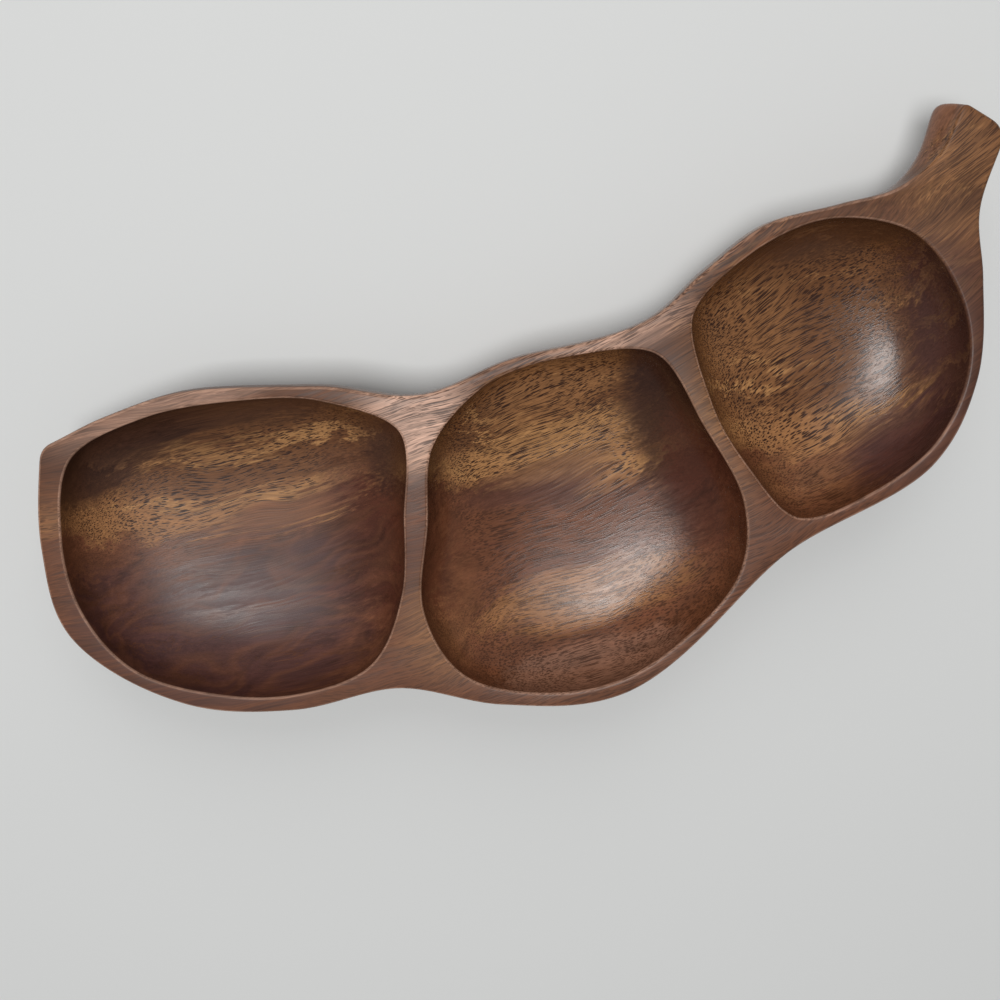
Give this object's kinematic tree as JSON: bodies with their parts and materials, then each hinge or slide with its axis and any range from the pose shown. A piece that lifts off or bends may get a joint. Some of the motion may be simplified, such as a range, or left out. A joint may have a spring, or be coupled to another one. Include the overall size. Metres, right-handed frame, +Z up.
{
  "type": "divided serving tray",
  "caption": "Hand-carved wooden serving tray shaped like a bent pea pod, hollowed into rounded compartments with standing dividers and a short stem to hold it by.",
  "frame": {"origin": "centre of the tray's bounding box, on the plane of the flats it stands on", "axes": "+X along the pod from its tip to its stem, +Y to the hollow side of its bend, +Z up out of the bowls"},
  "size_m": [0.507, 0.2268, 0.048],
  "materials": {
    "wood": "satin clear finish over carved figured hardwood, rubbed paler along the rim"
  },
  "bodies": {
    "root": {"carved_tray": "wood"}
  },
  "joints": []
}
